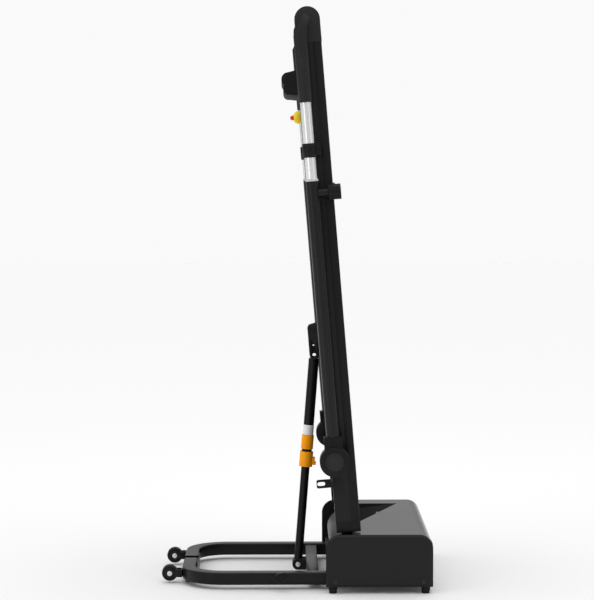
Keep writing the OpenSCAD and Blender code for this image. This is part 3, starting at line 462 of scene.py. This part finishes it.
def smoked_lens(name):
    lens = Recipe(name, Specular_IOR_Level=0.5)
    film = lens.noise(60, 3)
    lens.feed("Base Color", lens.mix(film, (0.020, 0.021, 0.022, 1), (0.028, 0.029, 0.031, 1)))
    lens.feed("Roughness", 0.22 + film * 0.06)
    return lens.material


def circuit(name):
    board = Recipe(name)
    pads = board.step(board.cells(160.0, distance="CHEBYCHEV"), 0.18, 0.14)
    board.feed("Base Color", board.mix(pads, (0.006, 0.07, 0.025, 1), (0.45, 0.42, 0.35, 1)))
    board.feed("Metallic", pads * 0.9)
    board.feed("Roughness", 0.3 + board.noise(300) * 0.1)
    return board.material


finish["board_wood"] = fibre_board("running_board_core")
finish["lens"] = smoked_lens("display_lens")
finish["pcb"] = circuit("circuit_board")
print("finishes", len(finish))

# %% Every CAD node takes the finish of its slot
for part in frame["record"]["subparts"]:
    node = frame["nodes"][part["node"]]
    node.data.materials.clear()
    node.data.materials.append(finish[part["material_slot"]])

# %% [markdown]
# ## Tools for the bench
# A few helpers carry the whole lesson. Two add a primitive at its size and place. One
# picks faces, edges or vertices by a test on their place, and short ones round or pull
# what is picked. Others apply a modifier, cut with a Boolean and join meshes. The last
# one turns a piece from its group's axes into the machine, welds and smooths it, and
# hands it to the body it moves with.


# %% Primitives at their size and place
def nothing_selected():
    if bpy.context.mode != "OBJECT":
        bpy.ops.object.mode_set(mode="OBJECT")
    bpy.ops.object.select_all(action="DESELECT")


def activate(piece):
    nothing_selected()
    piece.select_set(True)
    bpy.context.view_layer.objects.active = piece


def named(name):
    piece = bpy.context.object
    piece.name = name
    piece.data.name = name
    bpy.ops.object.transform_apply(location=True, rotation=True, scale=True)
    return piece


def block(name, low, high):
    low, high = Vector(low), Vector(high)
    nothing_selected()
    bpy.ops.mesh.primitive_cube_add(size=1, location=(low + high) / 2, scale=high - low)
    return named(name)


def drum(name, start, end, radius, sides=64):
    start, end = Vector(start), Vector(end)
    way = end - start
    turn = way.to_track_quat("Z", "Y").to_euler()
    nothing_selected()
    bpy.ops.mesh.primitive_cylinder_add(
        vertices=sides, radius=radius, depth=way.length, location=(start + end) / 2, rotation=turn
    )
    return named(name)


print("primitives ready")

# %% Picking parts of a mesh by their place
CLOSE = 0.00005


def pick(piece, kind, test):
    """Enters edit mode and selects the faces, edges or vertices that pass the test."""
    if bpy.context.mode != "EDIT_MESH":
        activate(piece)
        bpy.ops.object.mode_set(mode="EDIT")
    bpy.ops.mesh.select_mode(type=kind)
    bpy.ops.mesh.select_all(action="DESELECT")
    mesh = bmesh.from_edit_mesh(piece.data)
    for part in {"FACE": mesh.faces, "EDGE": mesh.edges, "VERT": mesh.verts}[kind]:
        if kind == "FACE":
            middle = part.calc_center_median()
        elif kind == "EDGE":
            middle = (part.verts[0].co + part.verts[1].co) / 2
        else:
            middle = part.co
        part.select_set(test(middle, part))
    mesh.select_flush_mode()
    bmesh.update_edit_mesh(piece.data)


def near(a, b):
    return abs(a - b) < CLOSE


def round_edges(width, segments=3):
    bpy.ops.mesh.bevel(offset=width, segments=segments, affect="EDGES", clamp_overlap=True)


def round_all(piece, width, segments=2):
    pick(piece, "EDGE", lambda m, e: True)
    round_edges(width, segments)
    nothing_selected()


def pull(by):
    bpy.ops.mesh.extrude_region_move(TRANSFORM_OT_translate={"value": Vector(by)})


print("picks within", CLOSE * 1000, "mm")

# %% Modifiers and finishing
WELD = 0.000001


def modify(piece, kind, **settings):
    activate(piece)
    made = piece.modifiers.new(kind.lower(), kind)
    for setting, value in settings.items():
        setattr(made, setting, value)
    bpy.ops.object.modifier_apply(modifier=made.name)


def cut(piece, *tools):
    for tool in tools:
        modify(piece, "BOOLEAN", operation="DIFFERENCE", object=tool, solver="EXACT")
        bpy.data.objects.remove(tool)


def join(piece, *others):
    nothing_selected()
    for other in others:
        other.select_set(True)
    piece.select_set(True)
    bpy.context.view_layer.objects.active = piece
    bpy.ops.object.join()
    return piece


def place_in(piece, axes):
    activate(piece)
    piece.matrix_world = axes
    bpy.ops.object.transform_apply(location=True, rotation=True, scale=True)


def settle(piece, axes, body, slot, *nodes, smooth=35, flip=True):
    place_in(piece, axes)
    bpy.ops.object.mode_set(mode="EDIT")
    bpy.ops.mesh.select_all(action="SELECT")
    bpy.ops.mesh.remove_doubles(threshold=WELD)
    if flip:
        bpy.ops.mesh.normals_make_consistent(inside=False)
    bpy.ops.object.mode_set(mode="OBJECT")
    bpy.ops.object.shade_smooth_by_angle(angle=math.radians(smooth))
    piece.data.materials.clear()
    piece.data.materials.append(finish[slot])
    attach(piece, body)
    if nodes:
        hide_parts(*nodes)
    print(piece.name, len(piece.data.polygons), "faces on", body)
    return piece


# %% [markdown]
# ## Softened CAD shapes
# A pressed bracket or a cast cap is the right shape in the CAD model except for one
# thing: its edges are perfectly sharp, and no real edge is. A copy of the node is
# welded, its flat triangles are dissolved into whole faces, and a Bevel modifier rounds
# every sharp edge by the radius that its process leaves.


# %% Rounding the edges of a node's copy
COPY_WELD = 0.000002
FLAT = math.radians(0.6)
SHARP = math.radians(38)


def soften(node, body, slot, width):
    source = frame["nodes"][node]
    piece = bpy.data.objects.new(node + "_soft", source.data.copy())
    scene.collection.objects.link(piece)
    activate(piece)
    if piece.data.has_custom_normals:
        bpy.ops.mesh.customdata_custom_splitnormals_clear()
    bpy.ops.object.mode_set(mode="EDIT")
    bpy.ops.mesh.select_all(action="SELECT")
    bpy.ops.mesh.remove_doubles(threshold=COPY_WELD)
    bpy.ops.mesh.dissolve_limited(angle_limit=FLAT)
    modify(
        piece, "BEVEL", width=width, segments=2, limit_method="ANGLE",
        angle_limit=SHARP, miter_outer="MITER_ARC", use_clamp_overlap=True,
    )
    return settle(piece, Matrix.Identity(4), body, slot, node, smooth=32, flip=False)


body_of_node = {n: b for b, ns in frame["record"]["behaviour"]["bodies"].items() for n in ns}
slot_of_node = {p["node"]: p["material_slot"] for p in frame["record"]["subparts"]}
print("nodes with a body", len(body_of_node))

# %% Brackets, caps and other pressed or moulded shapes
softened = {
    "cross_member": 0.0025, "wheel_forks": 0.0008, "axle_pins": 0.0012, "hood_chassis": 0.0008,
    "fold_pins": 0.001, "motor_shroud": 0.0006, "power_inlet": 0.001, "index_bolt": 0.0015,
    "side_frame_right": 0.0018, "side_frame_left": 0.0018, "foot_rails": 0.0009,
    "front_caps": 0.0022, "rear_caps": 0.003, "rear_stand": 0.0025, "hinge_arms": 0.001,
    "strut_bracket": 0.0007, "latch_bracket": 0.0007, "clip_right": 0.0009, "clip_left": 0.0009,
    "e_stop_housing": 0.0012, "e_stop_button": 0.0012, "release_collar": 0.0014,
    "strut_lower_tube": 0.001, "strut_upper_tube": 0.001, "motor": 0.003,
    "socket_right": 0.0012, "socket_left": 0.0012, "lock_knob_right": 0.0008,
    "lock_knob_left": 0.0008, "deck_cross_members": 0.0012, "grip_right": 0.002, "grip_left": 0.002,
}
for node, width in softened.items():
    soften(node, body_of_node[node], slot_of_node[node], width)
print("softened", len(softened))

# %% [markdown]
# ## Grooves in the foot rails
# The foot rails are where the user stands to start the belt, so their tops carry long
# non-slip grooves. Six thin blocks are drawn in the deck's own axes, turned into place
# and cut out of each rail with a Boolean. Real grooves keep their shape at a low angle,
# where a bump pattern on a flat face would vanish.

# %% Cutting the grooves
rail_low, rail_high = extent("foot_rails", DECK)
belt_edge = extent("running_belt", DECK)[1].y
GROOVES = 6
GROOVE_WIDE = 0.0022
GROOVE_DEEP = 0.0009
GROOVE_CLEAR = 0.01
GROOVE_ENDS = 0.02
TREAD_FROM_BELT = 0.010
TREAD_FROM_EDGE = 0.009
rails = bpy.data.objects["foot_rails_soft"]
tread_in, tread_out = belt_edge + TREAD_FROM_BELT, rail_high.y - TREAD_FROM_EDGE
for sign in SIGN.values():
    for i in range(GROOVES):
        y = sign * (tread_in + (tread_out - tread_in) * i / (GROOVES - 1))
        tool = block(
            "groove",
            (rail_high.x - GROOVE_DEEP, y - GROOVE_WIDE / 2, rail_low.z + GROOVE_ENDS),
            (rail_high.x + GROOVE_CLEAR, y + GROOVE_WIDE / 2, rail_high.z - GROOVE_ENDS),
        )
        place_in(tool, DECK)
        cut(rails, tool)
print("grooved rails", len(rails.data.polygons), "faces")

# %% [markdown]
# ## Base tube
# The base is one rectangular steel tube, bent to a U and cut open in the middle of the
# bow. Its corners are round, about the radius of the tube mill's rolls. The rail starts
# as a block. The end face is spun a quarter turn about the middle of the bend and then
# pulled along the bow, the four long corners are beveled in one go, and both ends are
# inset and pushed in, so that the tube shows its wall. A curve with a profile would also
# do, but spinning keeps the bend a true arc. Small plates hold the two halves together
# round the gap, which is there to let the strut lie down.

# %% Rail, bend and half of the bow
TUBE_WIDE = 0.035
TUBE_CORNER = 0.0045
BEND_OUTSIDE = 0.110
BEND_STEPS = 20
BOW_GAP = 0.015
TUBE_WALL = 0.002
HOLLOW_DEEP = 0.02
CORNER_ANGLE = 1.2


def bent_tube(name, sign):
    low, high = extent("base_frame_right", FLOOR)
    outside = extent("cross_member", FLOOR)[1].y + TUBE_WIDE
    bend_x = low.x + BEND_OUTSIDE
    edge = sorted((sign * outside, sign * (outside - TUBE_WIDE)))
    tube = block(name, (bend_x, edge[0], low.z), (high.x, edge[1], high.z))
    pick(tube, "FACE", lambda m, f: near(m.x, bend_x))
    bend_y = sign * (outside - BEND_OUTSIDE)
    quarter = -sign * math.pi / 2
    middle = (bend_x, bend_y, 0)
    bpy.ops.mesh.spin(steps=BEND_STEPS, angle=quarter, center=middle, axis=(0, 0, 1))
    pull((0, sign * BOW_GAP - bend_y, 0))

    def long_corner(m, e):
        inside = m.x < high.x - 2 * CLOSE and abs(m.y) > BOW_GAP + 2 * CLOSE
        return inside and e.calc_face_angle(0) > CORNER_ANGLE

    pick(tube, "EDGE", long_corner)
    round_edges(TUBE_CORNER, 5)
    pick(tube, "FACE", lambda m, f: near(m.x, high.x))
    bpy.ops.mesh.inset(thickness=TUBE_WALL)
    pull((-HOLLOW_DEEP, 0, 0))
    pick(tube, "FACE", lambda m, f: near(abs(m.y), BOW_GAP))
    bpy.ops.mesh.inset(thickness=TUBE_WALL)
    pull((0, sign * HOLLOW_DEEP, 0))
    nothing_selected()
    return tube


tube_right = bent_tube("base_tube_right", -1)
tube_left = bent_tube("base_tube_left", 1)
print("tube faces", len(tube_right.data.polygons))

# %% Collar for the index bolt
COLLAR_RADIUS = 0.0085
COLLAR_IN = 0.002
COLLAR_OUT = 0.006
COLLAR_SOFT = 0.0012
bolt_low, bolt_high = extent("index_bolt", FLOOR)
bolt = (bolt_low + bolt_high) / 2
tube_edge = -extent("cross_member", FLOOR)[1].y - TUBE_WIDE
collar_face = tube_edge - COLLAR_OUT
collar_foot = (bolt.x, tube_edge + COLLAR_IN, bolt.z)
collar = drum("bolt_collar", collar_foot, (bolt.x, collar_face, bolt.z), COLLAR_RADIUS, 48)
pick(collar, "EDGE", lambda m, e: near(m.y, collar_face) and e.calc_face_angle(0) > 1)
round_edges(COLLAR_SOFT)
settle(join(tube_right, collar), FLOOR, "base", "frame_paint", "base_frame_right")

# %% Plates across the gap in the bow
PLATE = 0.003
PLATE_SOFT = 0.0006
SHORT_END = 0.06
LONG_END = 0.09
WELD_GAP = 0.0005
bow_low, bow_high = extent("base_frame_left", FLOOR)
inner = bow_low.x + TUBE_WIDE
face = inner + PLATE
top = bow_high.z
floor_side = bow_low.z
tube_low = floor_side + PLATE
plates = [
    block("plate_under", (bow_low.x, -SHORT_END, floor_side), (inner, SHORT_END, tube_low)),
    block("plate_left", (inner, BOW_GAP, floor_side), (face, SHORT_END, top)),
    block("plate_low", (inner, -BOW_GAP, floor_side), (face, BOW_GAP, tube_low + PLATE)),
    block("plate_right", (inner + WELD_GAP, -LONG_END, floor_side), (face, -BOW_GAP, top)),
]
for plate in plates:
    round_all(plate, PLATE_SOFT)
settle(join(tube_left, *plates), FLOOR, "base", "frame_paint", "base_frame_left")

# %% [markdown]
# ## Side panels of the hood
# Each side of the hood is one moulding: a plate with two generous top corners, a sloping
# rim and a flat face. A block gets its corners by a wide bevel on two edges, and Inset
# with a depth raises the face and leaves the slope. The slope's edges are beveled softly,
# because a mould never leaves a crease there. A narrow shelf runs along its foot inside,
# and the screw holes and their seats are cut at the end.

# %% Moulded side panels
CORNER = 0.035
RIM = 0.007
PANEL = 0.005
EDGE_STEP = 0.0012
FACE_SOFT = 0.0022
STEP_SOFT = 0.0010
SHELF_SOFT = 0.0008
SHELF_WIDE = 0.026
SHELF_ENDS = 0.004
SHELF_THICK = 0.003
SCREW_FROM_END = 0.024
SCREW_HIGH = 0.013
SCREW_RADIUS = 0.0025
SEAT_RADIUS = 0.0046
SEAT_DEEP = 0.002
THROUGH = 0.004


def side_panel(side):
    sign = SIGN[side]
    low, high = extent("side_panel_" + side, FLOOR)
    out_y = low.y if sign < 0 else high.y
    in_y = out_y - sign * PANEL
    step_y = in_y + sign * EDGE_STEP
    y_pair = sorted((in_y, step_y))
    panel = block("hood_side_" + side, (low.x, y_pair[0], low.z), (high.x, y_pair[1], high.z))
    pick(panel, "EDGE", lambda m, e: near(m.z, high.z) and (near(m.x, low.x) or near(m.x, high.x)))
    round_edges(CORNER, 24)
    pick(panel, "FACE", lambda m, f: near(m.y, step_y) and abs(f.normal.y) > 0.9)
    bpy.ops.mesh.inset(thickness=RIM, depth=PANEL - EDGE_STEP)
    pick(panel, "EDGE", lambda m, e: near(m.y, out_y))
    round_edges(FACE_SOFT, 4)
    pick(panel, "EDGE", lambda m, e: near(m.y, step_y))
    round_edges(STEP_SOFT)
    nothing_selected()
    shelf_y = sorted((in_y, in_y - sign * SHELF_WIDE))
    shelf_low = (low.x + SHELF_ENDS, shelf_y[0], low.z)
    shelf = block("shelf", shelf_low, (high.x - SHELF_ENDS, shelf_y[1], low.z + SHELF_THICK))
    round_all(shelf, SHELF_SOFT)
    join(panel, shelf)
    for x in (low.x + SCREW_FROM_END, high.x - SCREW_FROM_END):
        z = low.z + SCREW_HIGH
        start = Vector((x, in_y - sign * THROUGH, z))
        end = Vector((x, out_y + sign * THROUGH, z))
        seat = Vector((x, out_y - sign * SEAT_DEEP, z))
        hole = drum("screw_hole", start, end, SCREW_RADIUS, 32)
        cut(panel, hole, drum("screw_seat", seat, end, SEAT_RADIUS, 32))
    settle(panel, FLOOR, "base", "hood_plastic", "side_panel_" + side, smooth=30)


side_panel("right")
side_panel("left")

# %% [markdown]
# ## Transport wheels
# The wheels are hard rubber on a moulded hub. Both are turned shapes, so each starts as a
# drum whose faces are inset and pushed in: the tyre has a rounded tread and a sunken
# side, and the hub a shallow dish round the axle. The hub is a separate piece, because
# it has another finish.


# %% Tyres and hubs
HUB_RADIUS = 0.0120
HUB_FIT = 0.00005
AXLE_BORE = 0.00505
TREAD_SOFT = 0.0032
SIDE_SUNK = 0.0016
HUB_RIM = 0.0016
HUB_SUNK = 0.0022
BEYOND = Vector((0, 0.01, 0))


def wheel(side):
    low, high = extent("wheel_" + side, FLOOR)
    middle, half = (low + high) / 2, (high.y - low.y) / 2
    radius = (high.z - low.z) / 2
    ends = [Vector((middle.x, middle.y + e * half, middle.z)) for e in (-1, 1)]
    tyre = drum("tyre_" + side, ends[0], ends[1], radius, 96)
    pick(tyre, "EDGE", lambda m, e: near(abs(m.y - middle.y), half) and e.calc_face_angle(0) > 1)
    round_edges(TREAD_SOFT, 6)
    pick(tyre, "FACE", lambda m, f: near(abs(m.y - middle.y), half) and f.calc_area() > 0.0001)
    bpy.ops.mesh.inset(thickness=0.0018, use_individual=True)
    bpy.ops.mesh.inset(thickness=0.0009, depth=-SIDE_SUNK, use_individual=True)
    nothing_selected()
    cut(tyre, drum("hub_seat", ends[0] - BEYOND, ends[1] + BEYOND, HUB_RADIUS, 64))
    settle(tyre, FLOOR, "wheel_" + side, "wheel_tyre", "wheel_" + side)
    hub = drum("hub_" + side, ends[0], ends[1], HUB_RADIUS - HUB_FIT, 64)
    pick(hub, "FACE", lambda m, f: abs(f.normal.y) > 0.9)
    bpy.ops.mesh.inset(thickness=HUB_RIM, use_individual=True)
    bpy.ops.mesh.inset(thickness=0.0008, depth=-HUB_SUNK, use_individual=True)
    pick(hub, "EDGE", lambda m, e: near(abs(m.y - middle.y), half) and e.calc_face_angle(0) > 0.5)
    round_edges(0.0004, 2)
    nothing_selected()
    cut(hub, drum("axle_bore", ends[0] - BEYOND, ends[1] + BEYOND, AXLE_BORE, 48))
    settle(hub, FLOOR, "wheel_" + side, "wheel_hub")


wheel("right")
wheel("left")

# %% [markdown]
# ## Rubber feet
# Six conical feet carry the machine. Each is a drum whose lower end is scaled down, with
# a beveled sole and a shallow groove round its skirt. One function draws a foot, and it is
# called at six places and at two heights, because copies that were stretched would have
# stretched bevels too.


# %% Six feet
FOOT_WIDE = 0.0115
FOOT_NARROW = 0.0099
GROOVE_FROM = 0.25
GROOVE_TO = 0.45
SOLE_SOFT = 0.0015
BOW_FOOT_OUT = 0.118
HOOD_FOOT_IN = 0.018


def foot(name, place, height):
    x, y = place
    piece = drum(name, (x, y, 0), (x, y, height), FOOT_WIDE, 48)
    pick(piece, "VERT", lambda m, v: near(m.z, 0))
    taper = FOOT_NARROW / FOOT_WIDE
    bpy.ops.transform.resize(value=(taper, taper, 1), center_override=(x, y, 0))
    for level in (GROOVE_FROM, GROOVE_TO):
        pick(piece, "FACE", lambda m, f: True)
        bpy.ops.mesh.bisect(plane_co=(x, y, height * level), plane_no=(0, 0, 1))
    between = (GROOVE_FROM * height, GROOVE_TO * height)
    pick(piece, "FACE", lambda m, f: abs(f.normal.z) < 0.5 and between[0] < m.z < between[1])
    bpy.ops.mesh.inset(thickness=0.0004, depth=-0.0006)
    pick(piece, "EDGE", lambda m, e: near(m.z, 0) and e.calc_face_angle(0) > 1)
    round_edges(SOLE_SOFT)
    nothing_selected()
    return piece


panel_low, panel_high = extent("side_panel_left", FLOOR)
bow_x = bow_low.x + TUBE_WIDE / 2
hood_y = extent("feet", FLOOR)[1].y - FOOT_WIDE
feet = [foot("foot_bow_a", (bow_x, BOW_FOOT_OUT), tube_low)]
feet.append(foot("foot_bow_b", (bow_x, -BOW_FOOT_OUT), tube_low))
for i, x in enumerate((panel_low.x + HOOD_FOOT_IN, panel_high.x - HOOD_FOOT_IN)):
    for side, sign in SIGN.items():
        feet.append(foot("foot_hood_%s_%d" % (side, i), (x, sign * hood_y), panel_low.z))
rubber_feet = join(*feet)
rubber_feet.name = "rubber_feet"
settle(rubber_feet, FLOOR, "base", "rubber", "feet", smooth=40)

# %% [markdown]
# ## Covers on the handrail pivots
# A round snap-in disc closes each pivot housing. It is a thin drum with a soft rim and a
# shallow dish, so that it catches one curved highlight.


# %% Pivot discs
DISC_RADIUS = 0.0225
DISC_SUNK = 0.001
DISC_PROUD = 0.0016
DISC_SOFT = 0.0007
DISC_RIM = 0.0025
DISH_SLOPE = 0.0010
DISH_DEEP = 0.0012


def pivot_disc(side):
    sign = SIGN[side]
    low, high = extent("socket_" + side, RAIL[side])
    face = low.y if sign < 0 else high.y
    start = Vector((0, face - sign * DISC_SUNK, 0))
    end = Vector((0, face + sign * DISC_PROUD, 0))
    disc = drum("pivot_disc_" + side, start, end, DISC_RADIUS, 96)
    pick(disc, "EDGE", lambda m, e: near(m.y, end.y) and e.calc_face_angle(0) > 1)
    round_edges(DISC_SOFT)
    pick(disc, "FACE", lambda m, f: near(m.y, end.y) and f.calc_area() > 0.0005)
    bpy.ops.mesh.inset(thickness=DISC_RIM)
    bpy.ops.mesh.inset(thickness=DISH_SLOPE, depth=-DISH_DEEP)
    nothing_selected()
    settle(disc, RAIL[side], "handrail_" + side, "cap_plastic")


pivot_disc("right")
pivot_disc("left")

# %% [markdown]
# ## Painted shade in the sunken triangle
# Beside the deck the hood's top dips into a triangular pocket, so that the deck's edge
# clears it. The pocket is covered by a thin sheet in two facets, whose matt near-black is
# painted shade. It starts as a thin block with one side merged into its corner, which leaves
# a triangle. The triangle is tipped to the pocket's slope, split along a crease, and the crease is raised a
# little.

# %% Pocket sheet of painted shade
POCKET_TIP = 0.145
POCKET_DEEP = 0.013
POCKET_SPAN = (-0.53, 0.76)
SHADE_SHEET_UNDER = 0.0001
SHADE_SHEET_OVER = 0.0004
SHADE_SHEET_BACK = 0.0005
CREASE_WAY = (0.86, -0.2, 0)
CREASE_RISE = 0.004
cover_low, cover_high = extent("hood_cover", FLOOR)
near_y, far_y = [share * cover_high.y for share in POCKET_SPAN]
slope = POCKET_DEEP / (POCKET_TIP - cover_low.x)
left_x = cover_low.x + SHADE_SHEET_BACK
shade_sheet_low = (left_x, near_y, cover_high.z - SHADE_SHEET_UNDER)
shade_sheet = block("pocket_shade_sheet", shade_sheet_low, (POCKET_TIP, far_y, cover_high.z + SHADE_SHEET_OVER))
pick(shade_sheet, "VERT", lambda m, v: near(m.y, near_y) and m.x > left_x + 0.01)
bpy.ops.transform.translate(value=(left_x - POCKET_TIP, 0, 0))
pick(shade_sheet, "VERT", lambda m, v: m.x < left_x + 0.001)
bpy.ops.transform.translate(value=(0, 0, -slope * (POCKET_TIP - left_x)))
pick(shade_sheet, "FACE", lambda m, f: True)
bpy.ops.mesh.remove_doubles(threshold=0.00001)
bpy.ops.mesh.bisect(plane_co=(POCKET_TIP, far_y, 0), plane_no=CREASE_WAY)
pick(shade_sheet, "VERT", lambda m, v: m.x < left_x + 0.001 and near_y + 0.05 < m.y < far_y - 0.05)
bpy.ops.transform.translate(value=(0, 0, CREASE_RISE))
nothing_selected()
# The sheet's near-black matt finish is painted shade of the pocket.
settle(shade_sheet, FLOOR, "base", "pocket_painted_shade", smooth=15)

# %% [markdown]
# ## Labels on the strut
# Two label sleeves wrap the upper tube of the strut, one white and one orange. They are
# thin plain bands that stand a little proud of the tube, with nothing printed on them.


# %% Plain label sleeves
STRUT_TUBE = 0.0135
SLEEVE_SUNK = 0.0002
LABEL_FROM_END = 0.0387
ORANGE_LONG = 0.037
WHITE_FROM = 0.0375
WHITE_TO = 0.064
ORANGE_PROUD = 0.0023
WHITE_PROUD = 0.0004


def sleeve(name, start, end, proud, slot):
    band = drum(name, (0, 0, start), (0, 0, end), STRUT_TUBE + proud, 64)
    pick(band, "EDGE", lambda m, e: e.calc_face_angle(0) > 1)
    round_edges(0.00012, 2)
    nothing_selected()
    inside = STRUT_TUBE - SLEEVE_SUNK
    cut(band, drum("inside", (0, 0, start - 0.01), (0, 0, end + 0.01), inside, 64))
    settle(band, STRUT, "strut_upper", slot)


low = extent("strut_upper_tube", STRUT)[0].z + LABEL_FROM_END
sleeve("label_lower", low, low + ORANGE_LONG, ORANGE_PROUD, "label_orange")
sleeve("label_upper", low + WHITE_FROM, low + WHITE_TO, WHITE_PROUD, "label_white")
